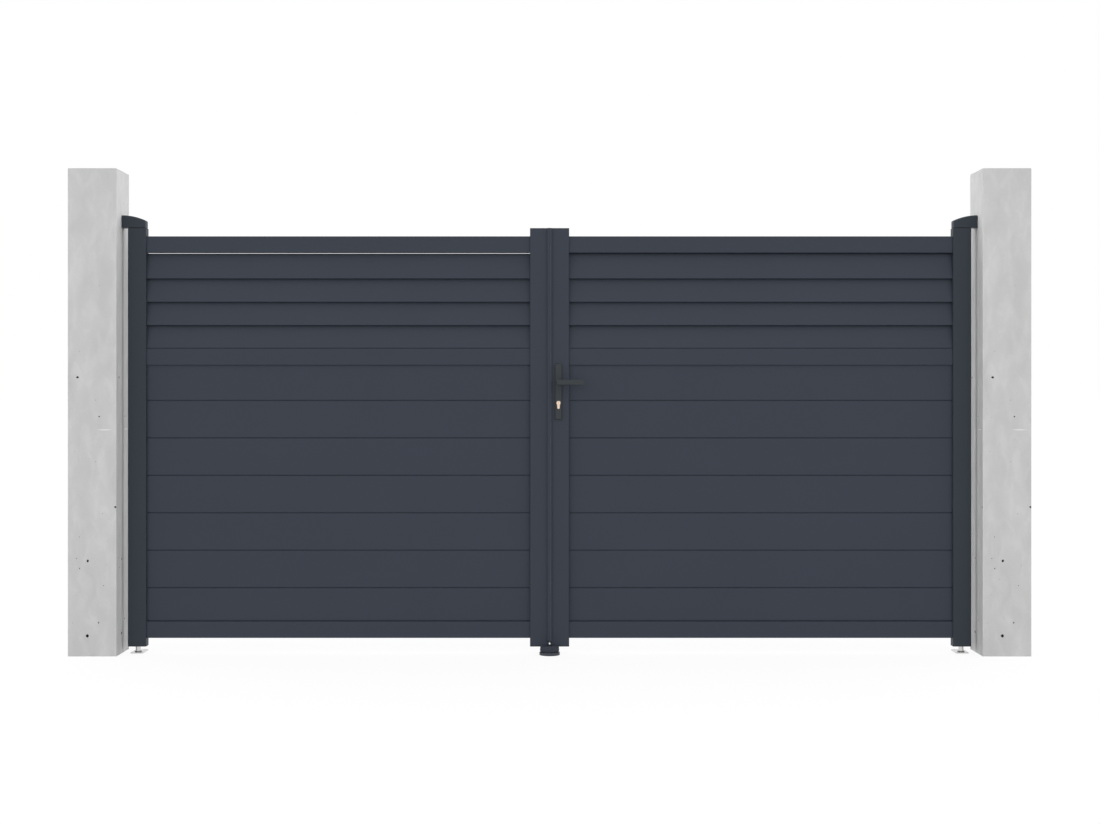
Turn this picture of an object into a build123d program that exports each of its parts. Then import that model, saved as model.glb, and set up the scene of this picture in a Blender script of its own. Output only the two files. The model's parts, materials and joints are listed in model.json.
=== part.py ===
"""Electric swing gate: two aluminium leaves with louvres and boards between concrete pillars."""
from build123d import *
import math
import os

os.makedirs("parts", exist_ok=True)

# Opening and pillars (mm). Origin: centre of the left pillar's foot; +Y is away from the street.
passage = 3547.0
pillar_size = 200.0
pillar_height = 2000.0
pillar_edge = 3.0

# Hinge line
pivot_offset = 64.0
pivot_gap = 3.0
fit_gap = 0.05
fuse_lap = 1.0

# Stiles: rectangular tubes with a cap in each end
stile_width = 76.0
stile_depth = 47.0
stile_corner = 5.0
stile_edge_corner = 1.5
stile_wall = 2.5
stile_foot = 28.3
stile_over_rail = 33.0
cap_plate = 3.0
cap_plug = 30.0
cap_slack = 0.2
thrust_inset = 3.0
thrust_gap = 0.5

# Rails
rail_height = 68.0
rail_depth = 30.0
rail_wall = 2.0
rail_corner = 1.5
rail_lift = 34.3

# Boards, tongue up and groove down
board_count = 7
board_cover = 155.4
board_depth = 16.0
board_wall = 1.5
board_corner = 1.0
board_joint = 4.0
board_seat = 13.5
board_lap = 6.0
tongue_depth = 6.0
tongue_lap = 6.0
joint_slack = 0.3

# Louvre slats, leaning back at the top
slat_count = 4
slat_pitch = 96.8
slat_height = 104.8
slat_depth = 26.0
slat_thickness = 8.0
slat_wall = 1.5
slat_corner = 1.2
slat_lift = 2.4
slat_settle = 2.0
slat_lip = 3.0

# Meeting line: an angle trim with a half bead on each stile and a soft seal between them
meeting_gap = 10.4
trim_gap = 5.6
trim_leg = 15.5
bead_half_width = 9.8
bead_rise = 7.5
bead_corner = 4.0
bead_foot = 52.0
seal_gap = 0.8
seal_leg = 11.5

# Top hinge bracket
bracket_length = 99.5
bracket_height = 51.0
bracket_arc = 235.0
bracket_nose = 8.0
bracket_corner = 7.0
bracket_edge = 1.2
pin_diameter = 20.0
pin_length = 30.0

# Floor pivot
shaft_diameter = 21.0
shaft_lap = 26.0
collar_diameter = 29.0
collar_height = 8.5
collar_edge = 1.0
foot_width = 52.0
foot_depth = 94.0
foot_thickness = 4.0
foot_corner = 4.0
foot_front = 28.0
foot_hole = 9.0
foot_hole_spacing = 28.0
foot_hole_y = 51.0

# Floor stop in front of the meeting stiles
stop_diameter = 84.0
stop_base_height = 12.0
stop_base_round = 3.0
stop_neck_diameter = 62.0
stop_neck_height = 4.0
buffer_diameter = 80.0
buffer_height = 22.0
buffer_taper = 2.0
buffer_round = 6.0
buffer_edge = 1.5
stop_offset = 30.5
stop_seat_gap = 0.3

# Lock on the right leaf
lock_x = 36.8
plate_width = 27.0
plate_height = 231.0
plate_thickness = 8.0
plate_corner = 5.0
plate_edge = 3.0
plate_below_lever = 153.4
lever_z = 1122.4
lever_bore_gap = 0.08
neck_diameter = 18.0
neck_clear = 1.0
neck_reach = 38.0
bar_height = 21.0
bar_thickness = 12.0
bar_length = 116.0
bar_tail = 8.0
bar_round = 5.0
bar_edge = 2.5
spindle = 8.0
spindle_hole = 24.0
cylinder_drop = 85.1
cylinder_head = 17.0
cylinder_leg = 10.0
cylinder_height = 33.0
cylinder_proud = 1.0
cylinder_slack = 0.2
plug_diameter = 13.0
plug_groove = 0.6
keyway_width = 2.4
keyway_height = 8.5
keyway_depth = 6.0

# Lock edge: a faceplate on the right leaf and a strike on the left one
edge_plate_width = 22.0
edge_plate_thickness = 2.5
edge_plate_corner = 4.0
faceplate_height = 235.0
strike_height = 180.0
bolt_width = 12.0
latch_height = 30.0
bolt_height = 38.0
bolt_recess = 1.0
strike_clear = 2.0

# Positions that follow from the sizes above
gate_x = pillar_size / 2 + passage / 2
axis_v = passage / 2 - pivot_offset
hinge_stile_v = axis_v
meeting_stile_v = meeting_gap / 2 + stile_width / 2
infill_from = meeting_gap / 2 + stile_width
infill_length = axis_v - stile_width / 2 - infill_from
bottom_rail_z = stile_foot + rail_lift
boards_z = bottom_rail_z + rail_height - board_seat
boards_top = boards_z + board_count * board_cover - board_joint
middle_rail_z = boards_top - board_lap
middle_groove = board_lap + board_joint + tongue_lap + joint_slack
slats_z = middle_rail_z + rail_height + slat_lift
top_rail_z = slats_z + (slat_count - 1) * slat_pitch + slat_height + fit_gap
stile_top = top_rail_z + rail_height + stile_over_rail
bracket_z = stile_top + pivot_gap
stile_front = -stile_depth / 2
SIDES = {"left": -1, "right": 1}


def across(side, v):
    """World x of a distance v from the gate's middle, on the given side."""
    return gate_x + side * v


def save(part, label):
    """Name a piece and write its STEP file."""
    part.label = label
    export_step(part, "parts/" + label + ".step")


def infill_start(side):
    """World x of the lower end of the space between the two stiles of a leaf."""
    return min(across(side, infill_from), across(side, infill_from + infill_length))


def pillar(side):
    """Square cast concrete pillar with lightly broken edges."""
    with BuildPart() as body:
        with BuildSketch(Plane.XY):
            with Locations((across(side, passage / 2 + pillar_size / 2), 0)):
                Rectangle(pillar_size, pillar_size)
        extrude(amount=pillar_height)
        chamfer(body.edges().filter_by(Axis.Z), pillar_edge)
        chamfer(body.faces().sort_by(Axis.Z)[-1].edges(), pillar_edge)
    return body.part


def hinge_bracket(side):
    """Bracket on the pillar over the hinge stile, with an arched top."""
    root_x = across(side, passage / 2)
    mid_x = across(side, passage / 2 - bracket_length / 2)
    tip_x = across(side, passage / 2 - bracket_length)
    top_z = bracket_z + bracket_height
    mid_z = top_z - bracket_arc + math.sqrt(bracket_arc**2 - (bracket_length / 2) ** 2)
    tip_z = top_z - bracket_arc + math.sqrt(bracket_arc**2 - bracket_length**2)
    with BuildPart() as body:
        with BuildSketch(Plane.XZ) as shape:
            with BuildLine():
                Polyline((tip_x, tip_z), (tip_x, bracket_z), (root_x, bracket_z), (root_x, top_z))
                ThreePointArc((root_x, top_z), (mid_x, mid_z), (tip_x, tip_z))
            make_face()
            fillet(shape.vertices().sort_by_distance((tip_x, tip_z, 0))[0], bracket_nose)
        extrude(amount=stile_depth / 2, both=True)
        fillet(body.edges().filter_by(Axis.Z).sort_by_distance((tip_x, 0, bracket_z))[:2], bracket_corner)
        rim = body.edges().filter_by(Axis.Z, reverse=True).filter_by(Axis.Y, reverse=True)
        fillet(rim.filter_by(lambda edge: edge.center().Z > bracket_z + bracket_edge), bracket_edge)
    return body.part


def bracket_pin(side):
    """Pivot pin under the bracket, running in the bush of the stile's top cap."""
    with BuildPart() as body:
        with BuildSketch(Plane.XY.offset(bracket_z)):
            with Locations((across(side, axis_v), 0)):
                Circle(pin_diameter / 2)
        extrude(amount=-pivot_gap - pin_length)
    return body.part


def pivot_foot(side):
    """Stainless floor plate with two bolt holes behind the leaf."""
    with BuildPart() as body:
        with BuildSketch(Plane.XY):
            with Locations((across(side, axis_v), foot_depth / 2 - foot_front)):
                RectangleRounded(foot_width, foot_depth, foot_corner)
            with Locations((across(side, axis_v), foot_hole_y)):
                with GridLocations(foot_hole_spacing, 0, 2, 1):
                    Circle(foot_hole / 2, mode=Mode.SUBTRACT)
        extrude(amount=foot_thickness)
    return body.part


def pivot_shaft(side):
    """Stainless pivot shaft with its collar, carrying the leaf from below."""
    with BuildPart() as body:
        with BuildSketch(Plane.XY.offset(foot_thickness)):
            with Locations((across(side, axis_v), 0)):
                Circle(collar_diameter / 2)
        extrude(amount=collar_height)
        chamfer(body.faces().sort_by(Axis.Z)[-1].edges(), collar_edge)
        with BuildSketch(Plane.XY.offset(foot_thickness)):
            with Locations((across(side, axis_v), 0)):
                Circle(shaft_diameter / 2)
        extrude(amount=stile_foot - foot_thickness + shaft_lap)
    return body.part


def hinge_stile(side):
    """Tube on the hinge line; the drive sits inside it."""
    with BuildPart() as body:
        with BuildSketch(Plane.XY.offset(stile_foot + cap_plate)):
            with Locations((across(side, hinge_stile_v), 0)):
                RectangleRounded(stile_width, stile_depth, stile_corner)
                RectangleRounded(stile_width - 2 * stile_wall, stile_depth - 2 * stile_wall,
                                 stile_corner - stile_wall, mode=Mode.SUBTRACT)
        extrude(amount=stile_top - stile_foot - 2 * cap_plate)
    return body.part


def meeting_outline(side):
    """Outline of a meeting stile in the open sketch, squarer on its meeting edge."""
    with Locations((across(side, meeting_stile_v), 0)):
        RectangleRounded(stile_width, stile_depth, stile_corner)
    with Locations((across(side, meeting_gap / 2 + stile_width / 4), 0)):
        RectangleRounded(stile_width / 2, stile_depth, stile_edge_corner)


def meeting_stile(side, with_lock):
    """Tube at the meeting line, bored for the lock where it has one."""
    with BuildPart() as body:
        with BuildSketch(Plane.XY.offset(stile_foot + cap_plate)):
            meeting_outline(side)
            with Locations((across(side, meeting_stile_v), 0)):
                RectangleRounded(stile_width - 2 * stile_wall, stile_depth - 2 * stile_wall,
                                 stile_corner - stile_wall, mode=Mode.SUBTRACT)
        extrude(amount=stile_top - stile_foot - 2 * cap_plate)
        if with_lock:
            with BuildSketch(Plane.XZ):
                with Locations((across(side, lock_x), lever_z)):
                    Circle(spindle_hole / 2)
                cylinder_shape(side, cylinder_slack)
            extrude(amount=stile_depth, both=True, mode=Mode.SUBTRACT)
    return body.part


def cylinder_shape(side, slack):
    """Profile cylinder outline in the open sketch: round head with a straight leg below."""
    head_z = lever_z - cylinder_drop
    leg_end_z = head_z + cylinder_head / 2 - cylinder_height + cylinder_leg / 2
    with Locations((across(side, lock_x), head_z)):
        Circle(cylinder_head / 2 + slack)
    with Locations((across(side, lock_x), (head_z + leg_end_z) / 2)):
        Rectangle(cylinder_leg + 2 * slack, head_z - leg_end_z)
    with Locations((across(side, lock_x), leg_end_z)):
        Circle(cylinder_leg / 2 + slack)


def stile_cap(side, at_hinge, at_top, bore_diameter):
    """End cap of a stile: a plate with a plug, bored for a pivot where a bore is given.
    Over the upper pivot a thrust pad fills the space under the bracket."""
    x = across(side, hinge_stile_v if at_hinge else meeting_stile_v)
    plate_z = stile_top if at_top else stile_foot
    inward = -1 if at_top else 1
    plug_width = stile_width - 2 * stile_wall - 2 * cap_slack
    plug_depth = stile_depth - 2 * stile_wall - 2 * cap_slack
    with BuildPart() as body:
        with BuildSketch(Plane.XY.offset(plate_z)):
            if at_hinge:
                with Locations((x, 0)):
                    RectangleRounded(stile_width, stile_depth, stile_corner)
            else:
                meeting_outline(side)
        extrude(amount=inward * cap_plate)
        with BuildSketch(Plane.XY.offset(plate_z + inward * cap_plate)):
            with Locations((x, 0)):
                RectangleRounded(plug_width, plug_depth, stile_corner - stile_wall)
        extrude(amount=inward * cap_plug)
        if at_hinge and at_top:
            with BuildSketch(Plane.XY.offset(plate_z)):
                with Locations((x, 0)):
                    RectangleRounded(stile_width - 2 * thrust_inset, stile_depth - 2 * thrust_inset,
                                     stile_corner - thrust_inset)
            extrude(amount=pivot_gap - thrust_gap)
        if bore_diameter:
            with BuildSketch(Plane.XY.offset(plate_z - inward * pivot_gap)):
                with Locations((x, 0)):
                    Circle(bore_diameter / 2)
            extrude(amount=inward * (pivot_gap + cap_plate + cap_plug), mode=Mode.SUBTRACT)
    return body.part


def rail(side, z, groove_at, groove_depth, held_depth):
    """Hollow rail; a groove in its lower (-1) or upper (1) edge holds the boards or their tongue."""
    groove_floor = groove_depth + rail_wall if groove_at else rail_wall
    hollow_height = rail_height - rail_wall - groove_floor
    hollow_z = z + (groove_floor if groove_at < 0 else rail_wall) + hollow_height / 2
    with BuildPart() as body:
        with BuildSketch(Plane.YZ.offset(infill_start(side))):
            with Locations((0, z + rail_height / 2)):
                RectangleRounded(rail_depth, rail_height, rail_corner)
            with Locations((0, hollow_z)):
                Rectangle(rail_depth - 2 * rail_wall, hollow_height, mode=Mode.SUBTRACT)
            if groove_at:
                groove_z = z if groove_at < 0 else z + rail_height
                with Locations((0, groove_z - groove_at * groove_depth / 2)):
                    Rectangle(held_depth + 2 * joint_slack, groove_depth, mode=Mode.SUBTRACT)
        extrude(amount=infill_length)
    return body.part


def boards(side):
    """Stack of hollow tongue-and-groove boards with an open joint between faces and over the bottom rail,
    where the lowest board stands on a tongue of its own."""
    upper_tongue = board_joint + tongue_lap + fuse_lap
    foot_tongue = board_seat + board_joint + fuse_lap
    with BuildPart() as body:
        for i in range(board_count):
            z = boards_z + i * board_cover
            face_z = z if i else z + board_seat + board_joint
            head_z = z + board_cover - board_joint
            hollow_z = face_z + board_wall + (tongue_lap + joint_slack + board_wall if i else 0)
            cell = (head_z - hollow_z) / 2 - board_wall
            with BuildSketch(Plane.YZ.offset(infill_start(side))):
                with Locations((0, (face_z + head_z) / 2)):
                    RectangleRounded(board_depth, head_z - face_z, board_corner)
                with Locations((0, head_z - fuse_lap + upper_tongue / 2)):
                    Rectangle(tongue_depth, upper_tongue)
                if i:
                    with Locations((0, z + (tongue_lap + joint_slack) / 2)):
                        Rectangle(tongue_depth + 2 * joint_slack, tongue_lap + joint_slack,
                                  mode=Mode.SUBTRACT)
                else:
                    with Locations((0, z + foot_tongue / 2)):
                        Rectangle(tongue_depth, foot_tongue)
                with Locations((0, hollow_z + cell / 2), (0, hollow_z + cell + board_wall + cell / 2)):
                    Rectangle(board_depth - 2 * board_wall, cell, mode=Mode.SUBTRACT)
            extrude(amount=infill_length)
    return body.part


def slats(side, closed_head):
    """Louvre slats, each lapping in front of the one below. The lowest stands on the middle rail with a lip,
    and where the head is closed a lip joins the highest to the top rail."""
    front = -slat_depth / 2
    back = slat_depth / 2
    rail_top = middle_rail_z + rail_height
    with BuildPart() as body:
        for i in range(slat_count):
            head_z = slats_z - slat_settle + i * slat_pitch + slat_height
            foot_z = head_z - slat_height if i else rail_top + slat_lift
            with BuildSketch(Plane.YZ.offset(infill_start(side))) as shape:
                with BuildLine():
                    Polyline((front, foot_z), (front + slat_thickness, foot_z), (back, head_z),
                             (back - slat_thickness, head_z), close=True)
                make_face()
                offset(amount=-slat_wall, kind=Kind.INTERSECTION, mode=Mode.SUBTRACT)
                fillet(shape.face().outer_wire().vertices(), slat_corner)
                if i == 0:
                    lip_height = slat_lift - fit_gap + slat_wall
                    with Locations((front + slat_thickness - slat_corner - slat_lip / 2,
                                    rail_top + fit_gap + lip_height / 2)):
                        Rectangle(slat_lip, lip_height)
                if i == slat_count - 1 and closed_head:
                    lip_height = top_rail_z - fit_gap - head_z + slat_wall
                    with Locations((back - slat_corner - slat_lip / 2,
                                    top_rail_z - fit_gap - lip_height / 2)):
                        Rectangle(slat_lip, lip_height)
            extrude(amount=infill_length)
    return body.part


def meeting_trim(side):
    """Angle trim on the meeting edge, with half of the bead on its front."""
    inner = trim_gap / 2
    edge = meeting_gap / 2
    leg_end = stile_front + trim_leg
    crown_y = stile_front - bead_rise
    with BuildPart() as body:
        with BuildSketch(Plane.XY.offset(stile_foot)):
            with Locations((across(side, (inner + edge) / 2), stile_front + trim_leg / 2)):
                Rectangle(edge - inner, trim_leg)
        extrude(amount=stile_top - stile_foot)
        with BuildSketch(Plane.XY.offset(bead_foot)) as shape:
            with BuildLine():
                Polyline((across(side, bead_half_width), stile_front),
                         (across(side, edge), stile_front), (across(side, edge), leg_end),
                         (across(side, inner), leg_end), (across(side, inner), crown_y),
                         (across(side, bead_half_width), crown_y), close=True)
            make_face()
            shoulder = (across(side, bead_half_width), crown_y, 0)
            fillet(shape.vertices().sort_by_distance(shoulder)[0], bead_corner)
        extrude(amount=stile_top - bead_foot)
    return body.part


def floor_stop_base():
    """Round foot of the floor stop with a narrower neck on top."""
    stop_y = stile_front - stop_offset
    with BuildPart() as body:
        with BuildSketch(Plane.XY):
            with Locations((gate_x, stop_y)):
                Circle(stop_diameter / 2)
        extrude(amount=stop_base_height)
        fillet(body.faces().sort_by(Axis.Z)[-1].edges(), stop_base_round)
        with BuildSketch(Plane.XY.offset(stop_base_height)):
            with Locations((gate_x, stop_y)):
                Circle(stop_neck_diameter / 2)
        extrude(amount=stop_neck_height)
    return body.part


def floor_stop_buffer():
    """Rubber buffer on the stop: a tapered drum, cut flat where the leaves come to rest."""
    stop_y = stile_front - stop_offset
    foot_z = stop_base_height + stop_neck_height
    top_z = foot_z + buffer_height
    foot_radius = buffer_diameter / 2
    top_radius = foot_radius - buffer_taper
    with BuildPart() as body:
        with BuildSketch(Plane((gate_x, stop_y, 0), x_dir=(1, 0, 0), z_dir=(0, -1, 0))) as shape:
            with BuildLine():
                Polyline((0, foot_z), (foot_radius, foot_z), (top_radius, top_z), (0, top_z), close=True)
            make_face()
            fillet(shape.vertices().sort_by_distance((top_radius, top_z, 0))[0], buffer_round)
            chamfer(shape.vertices().sort_by_distance((foot_radius, foot_z, 0))[0], buffer_edge)
        revolve(axis=Axis((gate_x, stop_y, 0), (0, 0, 1)))
        with BuildSketch(Plane.XY.offset(foot_z)):
            with Locations((gate_x, stile_front - stop_seat_gap + buffer_diameter / 2)):
                Rectangle(2 * buffer_diameter, buffer_diameter)
        extrude(amount=buffer_height, mode=Mode.SUBTRACT)
    return body.part


def lock_plate(facing):
    """Long lock plate, facing the street (-1) or the yard (1)."""
    plate_z = lever_z - plate_below_lever + plate_height / 2
    with BuildPart() as body:
        with BuildSketch(Plane.XZ.offset(-facing * stile_depth / 2)):
            with Locations((across(1, lock_x), plate_z)):
                RectangleRounded(plate_width, plate_height, plate_corner)
        extrude(amount=-facing * plate_thickness)
        rim = body.faces().sort_by(Axis.Y)[-1 if facing > 0 else 0]
        fillet(rim.edges(), plate_edge)
        with BuildSketch(Plane.XZ):
            with Locations((across(1, lock_x), lever_z)):
                Circle(neck_diameter / 2 + lever_bore_gap)
            cylinder_shape(1, cylinder_slack)
        extrude(amount=stile_depth, both=True, mode=Mode.SUBTRACT)
    return body.part


def lock_cylinder():
    """Profile cylinder through the stile and both plates, with a plug and keyway in each end."""
    end = stile_depth / 2 + plate_thickness + cylinder_proud
    with BuildPart() as body:
        with BuildSketch(Plane.XZ):
            cylinder_shape(1, 0)
        extrude(amount=end, both=True)
        for facing in (-1, 1):
            with BuildSketch(Plane.XZ.offset(-facing * end)):
                with Locations((across(1, lock_x), lever_z - cylinder_drop)):
                    Circle(plug_diameter / 2 + plug_groove / 2)
                    Circle(plug_diameter / 2 - plug_groove / 2, mode=Mode.SUBTRACT)
            extrude(amount=facing * plug_groove, mode=Mode.SUBTRACT)
            with BuildSketch(Plane.XZ.offset(-facing * end)):
                with Locations((across(1, lock_x), lever_z - cylinder_drop)):
                    SlotOverall(keyway_height, keyway_width, rotation=90)
            extrude(amount=facing * keyway_depth, mode=Mode.SUBTRACT)
    return body.part


def lever(facing):
    """Straight lever handle: a round neck and a flat bar."""
    neck_from = stile_depth / 2 + neck_clear
    bar_from = stile_depth / 2 + plate_thickness + neck_reach
    with BuildPart() as body:
        with BuildSketch(Plane.XZ.offset(-facing * bar_from)):
            with Locations((across(1, lock_x) - bar_tail + bar_length / 2, lever_z)):
                RectangleRounded(bar_length, bar_height, bar_round)
        extrude(amount=-facing * bar_thickness)
        fillet(body.faces().filter_by(Axis.Y).edges(), bar_edge)
        with BuildSketch(Plane.XZ.offset(-facing * neck_from)):
            with Locations((across(1, lock_x), lever_z)):
                Circle(neck_diameter / 2)
        extrude(amount=-facing * (bar_from - neck_from + fuse_lap))
    return body.part


def lever_spindle():
    """Square spindle joining the two levers through the stile."""
    with BuildPart() as body:
        with BuildSketch(Plane.XZ):
            with Locations((across(1, lock_x), lever_z)):
                Rectangle(spindle, spindle)
        extrude(amount=stile_depth / 2 + neck_clear, both=True)
    return body.part


def meeting_seal():
    """Soft seal on the left trim, filling the crown of the bead up to the right trim."""
    seal_width = trim_gap - seal_gap
    with BuildPart() as body:
        with BuildSketch(Plane.XY.offset(bead_foot)):
            with Locations((gate_x - trim_gap / 2 + seal_width / 2,
                            stile_front - bead_rise / 2 + seal_leg / 2)):
                Rectangle(seal_width, bead_rise + seal_leg)
        extrude(amount=stile_top - bead_foot)
    return body.part


def edge_plate(side, height, bolt_gap, depth):
    """Steel plate on a meeting edge, cut to the given depth round the latch and the bolt."""
    plate_y = (stile_front + trim_leg + stile_depth / 2) / 2
    plate_z = lever_z - cylinder_drop / 2
    outer_x = across(side, meeting_gap / 2 - edge_plate_thickness)
    with BuildPart() as body:
        with BuildSketch(Plane.YZ.offset(outer_x)):
            with Locations((plate_y, plate_z)):
                RectangleRounded(edge_plate_width, height, edge_plate_corner)
        extrude(amount=side * edge_plate_thickness)
        with BuildSketch(Plane.YZ.offset(outer_x)):
            with Locations((plate_y, lever_z)):
                Rectangle(bolt_width + 2 * bolt_gap, latch_height + 2 * bolt_gap)
            with Locations((plate_y, lever_z - cylinder_drop)):
                Rectangle(bolt_width + 2 * bolt_gap, bolt_height + 2 * bolt_gap)
        extrude(amount=side * depth, mode=Mode.SUBTRACT)
    return body.part


for name, side in SIDES.items():
    save(pillar(side), name + "_pillar")
    save(hinge_bracket(side), name + "_hinge_bracket")
    save(bracket_pin(side), name + "_hinge_pin")
    save(pivot_foot(side), name + "_pivot_plate")
    save(pivot_shaft(side), name + "_pivot_shaft")
    save(hinge_stile(side), name + "_hinge_stile")
    save(stile_cap(side, True, True, pin_diameter + 2 * fit_gap), name + "_hinge_top_bush")
    save(stile_cap(side, True, False, shaft_diameter + 2 * fit_gap), name + "_hinge_foot_bush")
    save(meeting_stile(side, side > 0), name + "_meeting_stile")
    save(stile_cap(side, False, True, 0), name + "_meeting_top_cap")
    save(stile_cap(side, False, False, 0), name + "_meeting_foot_cap")
    save(rail(side, top_rail_z, 0, 0, 0), name + "_top_rail")
    save(rail(side, middle_rail_z, -1, middle_groove, board_depth), name + "_middle_rail")
    save(rail(side, bottom_rail_z, 1, board_seat, tongue_depth), name + "_bottom_rail")
    save(boards(side), name + "_boards")
    save(slats(side, side > 0), name + "_louvre_slats")
    save(meeting_trim(side), name + "_meeting_trim")

save(meeting_seal(), "meeting_seal")
save(floor_stop_base(), "stop_base")
save(floor_stop_buffer(), "stop_buffer")
save(lock_plate(-1), "front_lock_plate")
save(lock_plate(1), "back_lock_plate")
save(lock_cylinder(), "lock_cylinder")
save(lever(-1), "front_lever")
save(lever(1), "back_lever")
save(lever_spindle(), "lever_spindle")
save(edge_plate(1, faceplate_height, 0, bolt_recess), "lock_faceplate")
save(edge_plate(-1, strike_height, strike_clear, edge_plate_thickness), "strike_plate")
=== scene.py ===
"""Looks of an electric swing gate: concrete pillars, coated aluminium leaves, lock and floor fittings."""

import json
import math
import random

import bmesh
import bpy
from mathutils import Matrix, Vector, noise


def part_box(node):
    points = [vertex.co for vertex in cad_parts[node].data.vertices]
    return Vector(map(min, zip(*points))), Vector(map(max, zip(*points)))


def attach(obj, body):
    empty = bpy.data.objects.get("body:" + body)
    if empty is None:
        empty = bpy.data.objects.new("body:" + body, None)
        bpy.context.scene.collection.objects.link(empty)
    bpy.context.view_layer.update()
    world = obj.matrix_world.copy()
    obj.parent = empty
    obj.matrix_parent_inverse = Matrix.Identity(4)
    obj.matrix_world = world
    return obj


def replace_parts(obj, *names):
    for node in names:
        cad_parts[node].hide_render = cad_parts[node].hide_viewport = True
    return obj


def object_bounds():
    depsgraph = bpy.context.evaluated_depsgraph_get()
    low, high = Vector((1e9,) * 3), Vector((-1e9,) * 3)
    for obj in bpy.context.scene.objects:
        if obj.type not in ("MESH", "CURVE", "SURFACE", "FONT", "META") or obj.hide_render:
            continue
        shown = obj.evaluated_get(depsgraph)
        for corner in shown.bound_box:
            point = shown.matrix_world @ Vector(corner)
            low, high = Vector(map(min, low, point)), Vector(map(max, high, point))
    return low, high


bl_info = {
    "name": "Swing Gate Dresser",
    "version": (1, 0, 0),
    "blender": (4, 5, 0),
    "location": "3D View > Sidebar > Gate",
    "description": "Finishes and small fittings for a double-leaf electric swing gate",
    "category": "Object",
}

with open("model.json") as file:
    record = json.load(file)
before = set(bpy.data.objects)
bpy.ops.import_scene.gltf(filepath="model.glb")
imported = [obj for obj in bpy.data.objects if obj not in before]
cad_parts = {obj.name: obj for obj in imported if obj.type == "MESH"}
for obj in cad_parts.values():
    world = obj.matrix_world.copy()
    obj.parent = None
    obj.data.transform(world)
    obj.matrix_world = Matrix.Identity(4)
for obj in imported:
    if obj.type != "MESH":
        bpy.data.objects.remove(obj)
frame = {"nodes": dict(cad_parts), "record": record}

CAD_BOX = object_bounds()
MM = 0.001
SIDES = ("left", "right")

# The photograph's frame in pixels, and what its perspective gives: focal length, horizon and, in metres,
# the eye's distance from the pillars' fronts and its height
PHOTO_WIDTH = 1100
PHOTO_FOCAL = 1619.0
PHOTO_CENTRE = (550.0, 412.0)
PHOTO_HORIZON = (549.6, 392.6)
EYE_DISTANCE = 6.629
EYE_HEIGHT = 1.0803
SENSOR_WIDTH = 36.0


def middle(node):
    """Centre of a CAD node's box."""
    low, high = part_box(node)
    return (low + high) / 2


def linear(hex_colour):
    """sRGB hex colour as linear RGBA."""
    channels = [int(hex_colour[i:i + 2], 16) / 255 for i in (0, 2, 4)]
    linear_channels = [c / 12.92 if c <= 0.04045 else ((c + 0.055) / 1.055) ** 2.4 for c in channels]
    return (*linear_channels, 1.0)


def add_node(tree, kind, inputs=None, **settings):
    """Add a node with its settings; inputs maps a socket to a value or to another node's output."""
    made = tree.nodes.new(kind)
    for key, value in settings.items():
        setattr(made, key, value)
    for key, value in (inputs or {}).items():
        if isinstance(value, bpy.types.NodeSocket):
            tree.links.new(value, made.inputs[key])
        else:
            made.inputs[key].default_value = value
    return made


def new_material(name):
    """Empty node material; returns it with its tree, its shader and its object coordinates."""
    material = bpy.data.materials.new(name)
    material.use_nodes = True
    tree = material.node_tree
    shader = tree.nodes["Principled BSDF"]
    place = add_node(tree, "ShaderNodeTexCoord")
    return material, tree, shader, place.outputs["Object"]


def per_metre(size_mm):
    """Texture scale that gives features of this size."""
    return 1 / (size_mm * MM)


def grained(name, colour, *, roughness, specular, grain_mm, grain_height_mm, cloud_mm, cloud_amount,
            gloss_spread=0.06):
    """Matt finish with a fine raised grain and a faint cloudiness in its tone."""
    material, tree, shader, place = new_material(name)
    cloud = add_node(tree, "ShaderNodeTexNoise", {
        "Vector": place, "Scale": per_metre(cloud_mm), "Detail": 4.0})
    tone = add_node(tree, "ShaderNodeMapRange", {
        "Value": cloud.outputs["Fac"], "From Min": 0.3, "From Max": 0.7,
        "To Min": 1 - cloud_amount, "To Max": 1 + cloud_amount})
    tint = add_node(tree, "ShaderNodeVectorMath", {
        0: tuple(colour)[:3], "Scale": tone.outputs["Result"]}, operation="SCALE")
    grain = add_node(tree, "ShaderNodeTexNoise", {
        "Vector": place, "Scale": per_metre(grain_mm), "Detail": 2.0})
    bump = add_node(tree, "ShaderNodeBump", {
        "Height": grain.outputs["Fac"], "Distance": grain_height_mm * MM, "Strength": 1.0})
    gloss = add_node(tree, "ShaderNodeMapRange", {
        "Value": grain.outputs["Fac"],
        "To Min": roughness - gloss_spread, "To Max": roughness + gloss_spread})
    tree.links.new(tint.outputs["Vector"], shader.inputs["Base Color"])
    tree.links.new(gloss.outputs["Result"], shader.inputs["Roughness"])
    tree.links.new(bump.outputs["Normal"], shader.inputs["Normal"])
    shader.inputs["Specular IOR Level"].default_value = specular
    return material


def powder_coat(colours):
    """Polyester powder coating baked on aluminium: dull, slightly blue grey with a fine orange-peel grain.
    The grain of a real coat is about 0.4 mm; it is drawn at 2 mm so that it shows."""
    return grained("powder_coated_aluminium", colours.leaf, roughness=0.5, specular=0.22,
                   grain_mm=2.0, grain_height_mm=0.02, cloud_mm=350, cloud_amount=0.02)


def shaded_hinge_coat(colours):
    """The same coating on the load-bearing hinge line, less blue, and darker as painted shade for the shade
    the pillars throw on the hinge line.
    """
    return grained("powder_coated_hinge_line_painted_shade", colours.hinge, roughness=0.5, specular=0.22,
                   grain_mm=2.0, grain_height_mm=0.02, cloud_mm=250, cloud_amount=0.02)


def lock_coat(colours):
    """Satin stove enamel on die-cast zinc: smooth, with a soft highlight. Its faint grain is drawn coarser
    than real so that it shows."""
    return grained("enamelled_die_casting", colours.lock, roughness=0.38, specular=0.35,
                   grain_mm=1.5, grain_height_mm=0.008, cloud_mm=60, cloud_amount=0.03)


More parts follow.
